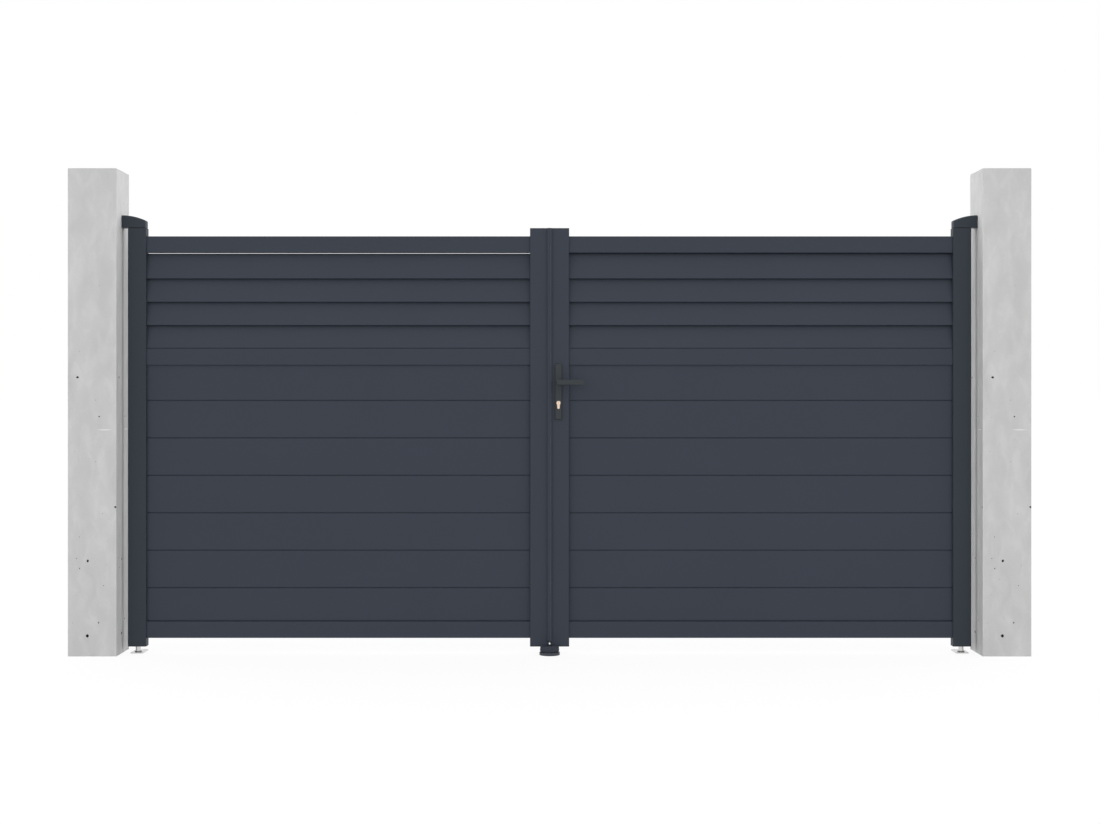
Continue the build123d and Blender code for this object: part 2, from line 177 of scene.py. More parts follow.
def moulded_plastic(colours):
    """Moulded nylon end caps: matt, with the grain of a spark-eroded mould, drawn coarser than real."""
    return grained("moulded_nylon", colours.cap, roughness=0.6, specular=0.3,
                   grain_mm=1.2, grain_height_mm=0.015, cloud_mm=80, cloud_amount=0.02)


def moulded_rubber(colours):
    """Moulded EPDM rubber: matt, very slightly dusty."""
    return grained("moulded_rubber", colours.rubber, roughness=0.72, specular=0.25,
                   grain_mm=2.5, grain_height_mm=0.03, cloud_mm=30, cloud_amount=0.05)


def extruded_seal(colours):
    """Extruded EPDM sealing strip, coloured to the leaves: matt and even."""
    return grained("extruded_rubber_seal", colours.seal, roughness=0.55, specular=0.2,
                   grain_mm=2.0, grain_height_mm=0.01, cloud_mm=90, cloud_amount=0.02)


def coated_casting(colours):
    """Cast iron under a thin dark coat: a soft, uneven skin."""
    return grained("coated_cast_iron", colours.stop, roughness=0.55, specular=0.3,
                   grain_mm=4.0, grain_height_mm=0.06, cloud_mm=40, cloud_amount=0.05)


def concrete_pore_dirt_and_shade(colours):
    """Inside of an air hole in the concrete: rough, and dark from the dirt that settles there, with painted
    shade for the shade deep in the hole.
    """
    return grained("concrete_air_hole_dirt_and_shade", colours.pore, roughness=0.95, specular=0.1,
                   grain_mm=1.5, grain_height_mm=0.2, cloud_mm=4, cloud_amount=0.2)


def worked_metal(name, colour, mark_mm, stretch, detail, gloss_range, groove_mm=0.0):
    """Bare metal whose gloss follows the marks of its working; stretch holds how quickly the marks change
    along x, y and z."""
    material, tree, shader, place = new_material(name)
    drawn = add_node(tree, "ShaderNodeMapping", {"Vector": place, "Scale": stretch})
    marks = add_node(tree, "ShaderNodeTexNoise", {
        "Vector": drawn.outputs["Vector"], "Scale": per_metre(mark_mm), "Detail": detail})
    gloss = add_node(tree, "ShaderNodeMapRange", {
        "Value": marks.outputs["Fac"], "To Min": gloss_range[0], "To Max": gloss_range[1]})
    tree.links.new(gloss.outputs["Result"], shader.inputs["Roughness"])
    if groove_mm:
        bump = add_node(tree, "ShaderNodeBump", {"Height": marks.outputs["Fac"], "Distance": groove_mm * MM})
        tree.links.new(bump.outputs["Normal"], shader.inputs["Normal"])
    shader.inputs["Base Color"].default_value = tuple(colour)
    shader.inputs["Metallic"].default_value = 1.0
    return material


def turned_steel(colours):
    """Turned stainless steel: bright, with fine rings round the axis, drawn coarser than real."""
    return worked_metal("turned_stainless_steel", colours.steel, mark_mm=0.8, stretch=(0.02, 0.02, 1.0),
                        detail=3.0, gloss_range=(0.18, 0.36), groove_mm=0.01)


def brushed_steel(name, colours, stretch):
    """Brushed stainless sheet: bright, with fine straight lines.
    The lines of a real brush are about 0.2 mm apart; they are drawn at 0.6 mm so that they show."""
    return worked_metal(name, colours.steel, mark_mm=0.6, stretch=stretch, detail=2.0,
                        gloss_range=(0.24, 0.44))


def satin_brass(colours):
    """Machined brass cylinder: pale, warm and finely brushed, drawn coarser than real."""
    return worked_metal("satin_brass", colours.brass, mark_mm=0.7, stretch=(1.0, 0.05, 0.15), detail=2.0,
                        gloss_range=(0.3, 0.46))


def zinc_plate(name, colour):
    """Zinc-plated steel, pale or passivated black: slightly mottled metal."""
    return worked_metal(name, colour, mark_mm=3, stretch=(1.0, 1.0, 1.0), detail=2.0,
                        gloss_range=(0.25, 0.45))


def cast_concrete(colours, sizes):
    """Fair-faced cast concrete: pale grey, with soft upright clouds left by the formwork, lighter patches, a
    sandy grain and one pale scrape on each face. The map holds metres across and up each face."""
    material, tree, shader, place = new_material("fair_faced_concrete")
    face = add_node(tree, "ShaderNodeUVMap", uv_map="face_metres").outputs["UV"]
    upright = add_node(tree, "ShaderNodeMapping", {
        "Vector": face, "Scale": (1.0, 0.45, 1.0)}).outputs["Vector"]
    cloud = add_node(tree, "ShaderNodeTexNoise", {
        "Vector": upright, "Scale": per_metre(90), "Detail": 2.0, "Roughness": 0.5, "Distortion": 0.5})
    patch = add_node(tree, "ShaderNodeTexNoise", {
        "Vector": upright, "Scale": per_metre(45), "Detail": 2.0, "Distortion": 0.8})
    speck = add_node(tree, "ShaderNodeTexNoise", {"Vector": place, "Scale": per_metre(6), "Detail": 3.0})
    sand = add_node(tree, "ShaderNodeTexNoise", {"Vector": place, "Scale": per_metre(1.8), "Detail": 3.0})
    tone = 1.0
    for layer, spread, tones in ((cloud, (0.3, 0.7), (0.945, 1.045)), (patch, (0.46, 0.64), (0.98, 1.035)),
                                 (speck, (0.25, 0.75), (0.988, 1.012)), (sand, (0.3, 0.7), (0.955, 1.045))):
        layer_tone = add_node(tree, "ShaderNodeMapRange", {
            "Value": layer.outputs["Fac"], "From Min": spread[0], "From Max": spread[1],
            "To Min": tones[0], "To Max": tones[1]})
        tone = add_node(tree, "ShaderNodeMath", {
            0: tone, 1: layer_tone.outputs["Result"]}, operation="MULTIPLY").outputs[0]
    tint = add_node(tree, "ShaderNodeVectorMath", {
        0: tuple(colours.concrete)[:3], "Scale": tone}, operation="SCALE")
    away = add_node(tree, "ShaderNodeVectorMath", {
        0: face, 1: (sizes.scrape_across, sizes.scrape_height, 0.0)}, operation="SUBTRACT")
    thin = add_node(tree, "ShaderNodeVectorMath", {
        0: away.outputs["Vector"], 1: (2 / sizes.scrape_length, 2 / sizes.scrape_width, 0.0)},
        operation="MULTIPLY")
    reach = add_node(tree, "ShaderNodeVectorMath", {0: thin.outputs["Vector"]}, operation="LENGTH")
    scrape = add_node(tree, "ShaderNodeMapRange", {
        "Value": reach.outputs["Value"], "From Min": 0.4, "From Max": 1.0, "To Min": 0.9, "To Max": 0.0})
    colour = add_node(tree, "ShaderNodeMix", {
        "Factor": scrape.outputs["Result"], 6: tint.outputs["Vector"], 7: tuple(colours.scrape)},
        data_type="RGBA")
    bump = add_node(tree, "ShaderNodeBump", {"Height": sand.outputs["Fac"], "Distance": 0.3 * MM})
    rise = add_node(tree, "ShaderNodeBump", {
        "Height": cloud.outputs["Fac"], "Distance": 0.6 * MM, "Normal": bump.outputs["Normal"]})
    tree.links.new(colour.outputs[2], shader.inputs["Base Color"])
    tree.links.new(rise.outputs["Normal"], shader.inputs["Normal"])
    shader.inputs["Roughness"].default_value = 0.88
    shader.inputs["Specular IOR Level"].default_value = 0.25
    return material


def paint(node, material):
    """Give a CAD node one material all over."""
    slots = frame["nodes"][node].data.materials
    slots.clear()
    slots.append(material)


def finished_mesh(name, shape, finishes):
    """Mesh of a bmesh with its finishes, in the order of the faces' material numbers; the bmesh is freed."""
    mesh = bpy.data.meshes.new(name)
    shape.to_mesh(mesh)
    shape.free()
    for finish in finishes:
        mesh.materials.append(finish)
    return mesh


def add_piece(name, mesh, body):
    """Link a finished mesh as a piece that moves with a body."""
    piece = bpy.data.objects.new(name, mesh)
    bpy.context.scene.collection.objects.link(piece)
    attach(piece, body)
    return piece


def quarter_round(x, y, radius, start, steps):
    """Points of a quarter circle about a point, from a start angle in degrees."""
    angles = [math.radians(start + 90 * i / steps) for i in range(steps + 1)]
    return [(x + radius * math.cos(angle), y + radius * math.sin(angle)) for angle in angles]


def colour_property(name, description, hex_colour):
    """A finish's colour, given as sRGB hex."""
    return bpy.props.FloatVectorProperty(name=name, description=description, subtype="COLOR", size=4,
                                         min=0.0, max=1.0, default=linear(hex_colour))


def length_property(name, description, metres):
    """A length in metres."""
    return bpy.props.FloatProperty(name=name, description=description, unit="LENGTH", default=metres,
                                   precision=4)


class GateColours(bpy.types.PropertyGroup):
    """Finishes a user may change."""
    leaf: colour_property("Leaf coating", "Powder coating of frames, boards and slats", "343A45")
    # Darker than the leaf coating: painted shade of the pillars on the hinge line
    hinge: colour_property("Hinge coating", "Coating of hinge stiles and brackets", "30373F")
    lock: colour_property("Lock coating", "Enamel of lock plates and levers", "2D3236")
    cap: colour_property("End caps", "Moulded caps in the stiles", "2E3237")
    rubber: colour_property("Rubber", "Stop buffer", "333741")
    seal: colour_property("Meeting seal", "Soft seal between the leaves", "323843")
    stop: colour_property("Stop casting", "Coat of the floor stop", "3F434B")
    steel: colour_property("Stainless steel", "Pivot shafts, plates and bolts", "D2D2D2")
    # Darker than the shafts' steel: painted shade of the stile foot above and painted reflection of the dark
    # stile
    collar: colour_property("Pivot collars", "Dull zinc of the floor pivots' collars", "A09F9B")
    black: colour_property("Black zinc", "Stop bolt", "585959")
    brass: colour_property("Cylinder", "Lock cylinder", "F0D8C4")
    concrete: colour_property("Concrete", "Pillars", "C5C5C5")
    # Inside of the air holes: dirt, plus painted shade for their depth
    pore: colour_property("Concrete air holes", "Inside of the air holes", "2B2926")
    scrape: colour_property("Concrete scrape", "Pale trowel mark on each pillar face", "EAEAEA")
    floor: colour_property("Floor", "Studio floor and background", "FFFFFF")


class GateSizes(bpy.types.PropertyGroup):
    """Sizes a user may change."""
    pillar_round: length_property("Pillar edge", "Radius of the pillars' broken edges", 3 * MM)
    scrape_height: length_property("Scrape height", "Height of the pale scrape above the ground", 928 * MM)
    scrape_across: length_property("Scrape place", "Middle of the scrape from a face's left edge", 151 * MM)
    scrape_length: length_property("Scrape length", "Length of the scrape", 72 * MM)
    scrape_width: length_property("Scrape width", "Width of the scrape at its middle", 5 * MM)
    shaft_width: length_property("Pivot shaft", "Diameter of the floor pivots", 21 * MM)
    collar_height: length_property("Pivot collar", "Height of the collar on each floor pivot", 4 * MM)
    floor_size: length_property("Floor", "Side of the studio floor", 400.0)
    light_level: bpy.props.FloatProperty(name="Light", description="Level of the studio dome", default=1.7,
                                         min=0.0)


class GATE_OT_stage(bpy.types.Operator):
    """Make the pale floor, the white studio dome and the camera at the photograph's viewpoint"""
    bl_idname = "gate.stage"
    bl_label = "Stage"

    # How the dome's level changes towards the yard, both flanks and the zenith
    YARD_SHARE = 0.12
    FLANK_SHARE = 0.55
    ZENITH_SHARE = -0.5
    # The floor's tone where it is seen and where it throws light back, and how white it is made to look
    FLOOR_SEEN = (0.9, 0.9, 0.9, 1.0)
    FLOOR_BOUNCE = (0.45, 0.45, 0.45, 1.0)
    FLOOR_GLOW = 0.9
    # How far the floor lies under the pillars' feet, and how far the camera sees, in metres
    FLOOR_DROP = 0.2 * MM
    FARTHEST_SEEN = 1000.0

    def execute(self, context):
        scene = context.scene
        scene.view_settings.view_transform = "Standard"
        colours, sizes = scene.gate_colours, scene.gate_sizes
        self.dome(scene, colours, sizes)
        self.floor(scene, colours, sizes)
        self.camera(scene)
        return {"FINISHED"}

    def background_ray(self, tree):
        """1 for a ray that shows the background: seen directly, in gloss or through glass."""
        path = add_node(tree, "ShaderNodeLightPath")
        either = add_node(tree, "ShaderNodeMath", {
            0: path.outputs["Is Camera Ray"], 1: path.outputs["Is Glossy Ray"]}, operation="MAXIMUM")
        shown = add_node(tree, "ShaderNodeMath", {
            0: either.outputs["Value"], 1: path.outputs["Is Transmission Ray"]}, operation="MAXIMUM")
        return shown.outputs["Value"]

    def dome(self, scene, colours, sizes):
        """White dome, a little weaker from the street side and from above, stronger from both flanks."""
        world = bpy.data.worlds.new("studio_dome")
        scene.world = world
        world.use_nodes = True
        tree = world.node_tree
        tree.nodes.clear()
        ray = add_node(tree, "ShaderNodeTexCoord")
        direction = add_node(tree, "ShaderNodeSeparateXYZ", {"Vector": ray.outputs["Generated"]})
        flank = add_node(tree, "ShaderNodeMath", {0: direction.outputs["X"], 1: 2.0}, operation="POWER")
        level = 1.0
        for part, share in ((direction.outputs["Y"], self.YARD_SHARE), (flank.outputs[0], self.FLANK_SHARE),
                            (direction.outputs["Z"], self.ZENITH_SHARE)):
            level = add_node(tree, "ShaderNodeMath", {0: part, 1: share, 2: level},
                             operation="MULTIPLY_ADD").outputs[0]
        lit = add_node(tree, "ShaderNodeMath", {0: level, 1: sizes.light_level}, operation="MULTIPLY")
        strength = add_node(tree, "ShaderNodeMix", {
            "Factor": self.background_ray(tree), 2: lit.outputs["Value"], 3: 1.0}, data_type="FLOAT")
        light = add_node(tree, "ShaderNodeBackground", {
            "Color": tuple(colours.floor), "Strength": strength.outputs[0]})
        add_node(tree, "ShaderNodeOutputWorld", {"Surface": light.outputs["Background"]})

    def floor(self, scene, colours, sizes):
        """Pale floor: white where it is seen, with a faint contact shadow left in."""
        half = sizes.floor_size / 2
        corners = [(x, y, -self.FLOOR_DROP) for x, y in ((-half, -half), (half, -half), (half, half),
                                                         (-half, half))]
        mesh = bpy.data.meshes.new("studio_floor")
        mesh.from_pydata(corners, [], [(0, 1, 2, 3)])
        floor = bpy.data.objects.new("studio_floor", mesh)
        scene.collection.objects.link(floor)
        material, tree, shader = new_material("studio_floor_paint")[:3]
        seen = self.background_ray(tree)
        tone = add_node(tree, "ShaderNodeMix", {"Factor": seen, 6: self.FLOOR_BOUNCE, 7: self.FLOOR_SEEN},
                        data_type="RGBA")
        tree.links.new(tone.outputs[2], shader.inputs["Base Color"])
        shader.inputs["Roughness"].default_value = 0.9
        shader.inputs["Specular IOR Level"].default_value = 0.0
        glow = add_node(tree, "ShaderNodeEmission", {"Color": tuple(colours.floor), "Strength": 1.0})
        share = add_node(tree, "ShaderNodeMath", {0: seen, 1: self.FLOOR_GLOW}, operation="MULTIPLY")
        mix = add_node(tree, "ShaderNodeMixShader", {
            0: share.outputs["Value"], 1: shader.outputs["BSDF"], 2: glow.outputs["Emission"]})
        tree.links.new(mix.outputs["Shader"], tree.nodes["Material Output"].inputs["Surface"])
        mesh.materials.append(material)

    def camera(self, scene):
        """Level camera on the gate's middle, at eye height in front of the pillars."""
        data = bpy.data.cameras.new("photo_camera")
        data.sensor_width = SENSOR_WIDTH
        data.lens = SENSOR_WIDTH * PHOTO_FOCAL / PHOTO_WIDTH
        data.shift_x = (PHOTO_CENTRE[0] - PHOTO_HORIZON[0]) / PHOTO_WIDTH
        data.shift_y = (PHOTO_HORIZON[1] - PHOTO_CENTRE[1]) / PHOTO_WIDTH
        data.clip_end = self.FARTHEST_SEEN
        camera = bpy.data.objects.new("photo_camera", data)
        scene.collection.objects.link(camera)
        gate_middle = (CAD_BOX[0].x + CAD_BOX[1].x) / 2
        pillar_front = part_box("left_pillar")[0].y
        camera.location = (gate_middle, pillar_front - EYE_DISTANCE, EYE_HEIGHT)
        camera.rotation_euler = (math.pi / 2, 0, 0)
        scene.camera = camera


class GATE_OT_coatings(bpy.types.Operator):
    """Coat the leaves, hinge line, lock and fittings"""
    bl_idname = "gate.coatings"
    bl_label = "Coatings"

    # Brush lines that run along the floor plates' depth and up the edge plates
    ALONG_DEPTH = (1.0, 0.01, 1.0)
    UPRIGHT = (1.0, 1.0, 0.01)

    def execute(self, context):
        colours = context.scene.gate_colours
        leaf = powder_coat(colours)
        hinge = shaded_hinge_coat(colours)
        plastic = moulded_plastic(colours)
        turned = turned_steel(colours)
        floor_plate = brushed_steel("brushed_floor_plate", colours, self.ALONG_DEPTH)
        edge_plate = brushed_steel("brushed_edge_plate", colours, self.UPRIGHT)
        lock = lock_coat(colours)
        for side in SIDES:
            for name in ("meeting_stile", "top_rail", "middle_rail", "bottom_rail", "boards",
                         "louvre_slats", "meeting_trim"):
                paint(side + "_" + name, leaf)
            # The hinge line takes the darker copy of the leaf coating, with painted shade in it
            for name in ("hinge_stile", "hinge_bracket"):
                paint(side + "_" + name, hinge)
            for name in ("hinge_top_bush", "hinge_foot_bush", "meeting_top_cap", "meeting_foot_cap"):
                paint(side + "_" + name, plastic)
            paint(side + "_hinge_pin", turned)
            paint(side + "_pivot_plate", floor_plate)
        for name in ("front_lock_plate", "back_lock_plate", "front_lever", "back_lever"):
            paint(name, lock)
        paint("lever_spindle", turned)
        for name in ("lock_faceplate", "strike_plate"):
            paint(name, edge_plate)
        paint("lock_cylinder", satin_brass(colours))
        paint("stop_base", coated_casting(colours))
        paint("stop_buffer", moulded_rubber(colours))
        return {"FINISHED"}


class GATE_OT_pillars(bpy.types.Operator):
    """Make the cast pillars with broken edges and air holes"""
    bl_idname = "gate.pillars"
    bl_label = "Pillars"

    # Air holes on each face: distance from the face's left edge, height and diameter in mm
    HOLES = ((40, 1143, 8.5), (129, 982, 5.2), (195, 611, 7.5), (48, 489, 3.6), (37, 401, 4),
             (82, 391, 9.5), (49, 360, 4), (147, 290, 3.6), (127, 138, 5.6), (80, 84, 11))
    # Pinholes strewn over each face: how many, and their ranges across, up and in diameter, in mm
    PINHOLES = 20
    PINHOLE_ACROSS = (8, 192)
    PINHOLE_UP = (20, 1980)
    PINHOLE_WIDTH = (1.5, 2.6)
    # Shape of a bubble: its range of stretch, how much deeper it is than wide, how uneven, how fine its bumps
    # and the range of places in the noise they start from; then the seed of all draws
    STRETCH = (0.8, 1.2)
    DEEPER = 1.7
    UNEVEN = 0.35
    BUMPS = 0.9
    PATTERN_RANGE = 50
    HOLE_SEED = 7
    # Holes wider than this have a finer mesh, and edges shorter than a sliver are closed up
    LARGE_HOLE = 5 * MM
    SLIVER = 0.01 * MM
    # Steps round a broken edge, and how upright a normal is on the top and the foot
    EDGE_STEPS = 3
    LEVEL = 0.8

    def execute(self, context):
        colours, sizes = context.scene.gate_colours, context.scene.gate_sizes
        finishes = (cast_concrete(colours, sizes), concrete_pore_dirt_and_shade(colours))
        for side in SIDES:
            node = side + "_pillar"
            mesh = self.pillar_mesh(node, sizes.pillar_round, finishes)
            piece = add_piece(side + "_cast_pillar", mesh, "pillars")
            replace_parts(piece, node)
        return {"FINISHED"}

    def faces_of(self, node):
        """The four upright faces: lower left corner, direction across and direction out."""
        low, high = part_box(node)
        return ((Vector((low.x, low.y, 0)), Vector((1, 0, 0)), Vector((0, -1, 0))),
                (Vector((high.x, low.y, 0)), Vector((0, 1, 0)), Vector((1, 0, 0))),
                (Vector((high.x, high.y, 0)), Vector((-1, 0, 0)), Vector((0, 1, 0))),
                (Vector((low.x, high.y, 0)), Vector((0, -1, 0)), Vector((-1, 0, 0))))

    def pillar_mesh(self, node, edge_round, finishes):
        """Block with rounded upright and top edges, less its air holes."""
        block = finished_mesh(node + "_block", self.block(node, edge_round), finishes[:1])
        holes = finished_mesh(node + "_holes", self.holes(node), finishes[1:])
        mesh = self.cut(block, holes)
        self.map_faces(mesh, node)
        return mesh

    def block(self, node, edge_round):
        """The pillar's box with every edge but those of its foot rounded."""
        low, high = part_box(node)
        block = bmesh.new()
        bmesh.ops.create_cube(block, size=1.0)
        for vertex in block.verts:
            vertex.co = Vector([(low[i] + high[i]) / 2 + vertex.co[i] * (high[i] - low[i]) for i in range(3)])
        broken = [edge for edge in block.edges if max(v.co.z for v in edge.verts) > low.z + MM]
        bmesh.ops.bevel(block, geom=broken, offset=edge_round, segments=self.EDGE_STEPS, profile=0.5,
                        affect="EDGES")
        return block

    def holes(self, node):
        """All bubbles of a pillar's four faces."""
        holes = bmesh.new()
        shape = random.Random(self.HOLE_SEED)
        for corner, along, out in self.faces_of(node):
            pinholes = [(shape.uniform(*self.PINHOLE_ACROSS), shape.uniform(*self.PINHOLE_UP),
                         shape.uniform(*self.PINHOLE_WIDTH)) for i in range(self.PINHOLES)]
            for across, up, diameter in (*self.HOLES, *pinholes):
                place = corner + along * across * MM + Vector((0, 0, up * MM))
                self.add_hole(holes, place, out, diameter * MM, shape)
        return holes

    def add_hole(self, holes, place, out, diameter, shape):
        """An uneven bubble on the face, deeper than wide, to be cut out of it."""
        stretch = [shape.uniform(*self.STRETCH) * (self.DEEPER if out[i] else 1.0) for i in range(3)]
        seed = Vector([shape.uniform(0, self.PATTERN_RANGE) for i in range(3)])
        fineness = 3 if diameter > self.LARGE_HOLE else 2
        made = bmesh.ops.create_icosphere(holes, subdivisions=fineness, radius=1.0)
        for vertex in made["verts"]:
            bulge = 1 + self.UNEVEN * noise.noise(vertex.co * self.BUMPS + seed)
            stretched = Vector([vertex.co[i] * stretch[i] for i in range(3)])
            vertex.co = place + stretched * bulge * diameter / 2

    def cut(self, mesh, cutter_mesh):
        """The first mesh less the second."""
        target = bpy.data.objects.new("pillar_block", mesh)
        cutter = bpy.data.objects.new("air_holes", cutter_mesh)
        for temporary in (target, cutter):
            bpy.context.scene.collection.objects.link(temporary)
        modifier = target.modifiers.new("air_holes", "BOOLEAN")
        modifier.operation = "DIFFERENCE"
        modifier.solver = "EXACT"
        modifier.material_mode = "TRANSFER"
        modifier.object = cutter
        graph = bpy.context.evaluated_depsgraph_get()
        result = bpy.data.meshes.new_from_object(target.evaluated_get(graph))
        for temporary in (target, cutter):
            bpy.data.objects.remove(temporary)
        clean = bmesh.new()
        clean.from_mesh(result)
        bmesh.ops.dissolve_degenerate(clean, dist=self.SLIVER, edges=clean.edges)
        clean.to_mesh(result)
        clean.free()
        return result

    def map_faces(self, mesh, node):
        """Map in metres across and up each upright face; the top and foot run on above and below."""
        layer = mesh.uv_layers.new(name="face_metres")
        sides = self.faces_of(node)
        for polygon in mesh.polygons:
            corner, along, out = max(sides, key=lambda side: side[2].dot(polygon.normal))
            level = abs(polygon.normal.z) > self.LEVEL
            for loop in polygon.loop_indices:
                point = mesh.vertices[mesh.loops[loop].vertex_index].co
                across, back = (point - corner).dot(along), (corner - point).dot(out)
                layer.data[loop].uv = (across, point.z + back if level else point.z)


class GATE_OT_meeting_seal(bpy.types.Operator):
    """Make the soft seal that closes the meeting line"""
    bl_idname = "gate.meeting_seal"
    bl_label = "Meeting seal"

    # Gap left before the right trim, round of the lips' ends, and how far the tail hangs under the CAD seal
    LIP_GAP = 0.05 * MM
    LIP_ROUND = 0.6 * MM
    TAIL = 6.5 * MM
    ARC_STEPS = 6
    # A lip's share of the seal's depth, and where the hollow between the lips begins across it
    LIP_SHARE = 0.28
    HOLLOW_SHARE = 0.45

    def execute(self, context):
        low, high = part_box("meeting_seal")
        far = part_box("right_meeting_trim")[0].x - self.LIP_GAP
        section = self.section(low, high, far)
        seal = bmesh.new()
        foot, head = [[seal.verts.new((x, y, z)) for x, y in section] for z in (low.z - self.TAIL, high.z)]
        seal.faces.new(foot)
        seal.faces.new(head)
        for i in range(len(section)):
            j = (i + 1) % len(section)
            seal.faces.new((foot[i], foot[j], head[j], head[i]))
        bmesh.ops.recalc_face_normals(seal, faces=seal.faces)
        mesh = finished_mesh("soft_meeting_seal", seal, [extruded_seal(context.scene.gate_colours)])
        piece = add_piece("soft_meeting_seal", mesh, "left_leaf")
        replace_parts(piece, "meeting_seal")
        return {"FINISHED"}

    def section(self, low, high, far):
        """Outline from above: a flat back on the left trim, a front lip and a rear lip that reach the right
        trim, and a hollow between them."""
        lip = (high.y - low.y) * self.LIP_SHARE
        hollow = low.x + (far - low.x) * self.HOLLOW_SHARE
        points = [(low.x, low.y)]
        points += self.lip_end(far, low.y, low.y + lip)
        points += [(hollow, low.y + lip), (hollow, high.y - lip)]
        points += self.lip_end(far, high.y - lip, high.y)
        return points + [(low.x, high.y)]

    def lip_end(self, far, front, back):
        """Rounded end of a lip, from its front to its back."""
        x = far - self.LIP_ROUND
        return (quarter_round(x, front + self.LIP_ROUND, self.LIP_ROUND, -90, self.ARC_STEPS)
                + quarter_round(x, back - self.LIP_ROUND, self.LIP_ROUND, 0, self.ARC_STEPS))


class GATE_OT_pivots(bpy.types.Operator):
    """Turn the floor pivots: a bright shaft in a darker zinc collar, whose darkness is painted shade of the
    stile foot above it and a painted reflection of the dark stile
    """
    bl_idname = "gate.pivots"
    bl_label = "Floor pivots"

    TURNS = 64
    EDGE = 1.0 * MM
    SHARP_ANGLE = math.radians(35)

    def execute(self, context):
        colours = context.scene.gate_colours
        shaft = bpy.data.materials.get("turned_stainless_steel") or turned_steel(colours)
        # The collar's darker zinc holds painted shade and a painted reflection of the stile
        finishes = (shaft, zinc_plate("zinc_collar_painted_shade", colours.collar))
        for side in SIDES:
            node = side + "_pivot_shaft"
            mesh = self.turned(node, context.scene.gate_sizes, finishes)
            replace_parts(add_piece(side + "_turned_pivot", mesh, "pillars"), node)
        return {"FINISHED"}

    def turned(self, node, sizes, finishes):
        """Collar and shaft as one lathe-turned mesh about the node's upright axis."""
        low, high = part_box(node)
        collar, shaft = (high.x - low.x) / 2, sizes.shaft_width / 2
        collar_top = low.z + sizes.collar_height
        # Finish numbers: the shaft takes the bright steel, the collar the darker zinc with painted shade
        bright, dull = 0, 1
        outline = [(0, low.z, dull), (collar - self.EDGE, low.z, dull), (collar, low.z + self.EDGE, dull),
                   (collar, collar_top - self.EDGE, dull), (collar - self.EDGE, collar_top, dull),
                   (shaft + self.EDGE, collar_top, dull), (shaft, collar_top - self.EDGE, bright),
                   (shaft, high.z - self.EDGE, bright), (shaft - self.EDGE, high.z, bright),
                   (0, high.z, bright)]
        mesh = finished_mesh(node + "_turned", self.lathe((low + high) / 2, outline), finishes)
        mesh.shade_smooth()
        mesh.set_sharp_from_angle(angle=self.SHARP_ANGLE)
        return mesh

    def lathe(self, axis, outline):
        """Solid turned about an upright axis from an outline of (radius, height, finish), bottom to top."""
        solid = bmesh.new()
        rings = []
        for radius, height, _ in outline:
            angles = [2 * math.pi * i / self.TURNS for i in range(self.TURNS if radius else 1)]
            rings.append([solid.verts.new((axis.x + radius * math.cos(angle),
                                           axis.y + radius * math.sin(angle), height)) for angle in angles])
        for lower, upper, (_, _, finish) in zip(rings, rings[1:], outline[1:]):
            for i in range(self.TURNS):
                corners = [lower[i % len(lower)], lower[(i + 1) % len(lower)], upper[(i + 1) % len(upper)],
                           upper[i % len(upper)]]
                face = solid.faces.new(list(dict.fromkeys(corners)))
                face.material_index = finish
        bmesh.ops.recalc_face_normals(solid, faces=solid.faces)
        return solid


class GATE_OT_lock_shade_underlays(bpy.types.Operator):
    """Lay a thin dark plastic underlay round the foot of both lock plates; its rim past the plates is painted
    shade, standing in for the plates' contact shadow
    """
    bl_idname = "gate.lock_underlays"
    bl_label = "Lock shade underlays"

    # How far the underlay shows round a plate: a dark rim of painted shade
    MARGIN = 1.6 * MM
    TUCK = 3.0 * MM
    THICKNESS = 1.0 * MM
    CORNER = 6.0 * MM
    ARC_STEPS = 8

    def execute(self, context):
        plastic = bpy.data.materials.get("moulded_nylon") or moulded_plastic(context.scene.gate_colours)
        for facing, plate in ((-1, "front_lock_plate"), (1, "back_lock_plate")):
            low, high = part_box(plate)
            seat = high.y if facing < 0 else low.y
            top = seat + facing * self.THICKNESS
            outer = self.outline(low, high, self.MARGIN, self.CORNER)
            inner = self.outline(low, high, -self.TUCK, self.CORNER - self.MARGIN - self.TUCK)
            rim = bmesh.new()
            rings = [[rim.verts.new((x, y, z)) for x, z in line]
                     for line, y in ((outer, seat), (outer, top), (inner, top), (inner, seat))]
            for ring, following in zip(rings, rings[1:] + rings[:1]):
                for i in range(len(ring)):
                    j = (i + 1) % len(ring)
                    rim.faces.new((ring[i], ring[j], following[j], following[i]))
            bmesh.ops.recalc_face_normals(rim, faces=rim.faces)
            mesh = finished_mesh(plate + "_underlay", rim, [plastic])
            add_piece(plate + "_underlay", mesh, "right_leaf")
        return {"FINISHED"}

    def outline(self, low, high, grow, corner):
        """Round-cornered outline of a plate seen from the front, grown or shrunk all round."""
        left, right = low.x - grow + corner, high.x + grow - corner
        foot, head = low.z - grow + corner, high.z + grow - corner
        points = []
        for x, z, start in ((right, head, 0), (left, head, 90), (left, foot, 180), (right, foot, 270)):
            points += quarter_round(x, z, corner, start, self.ARC_STEPS)
        return points


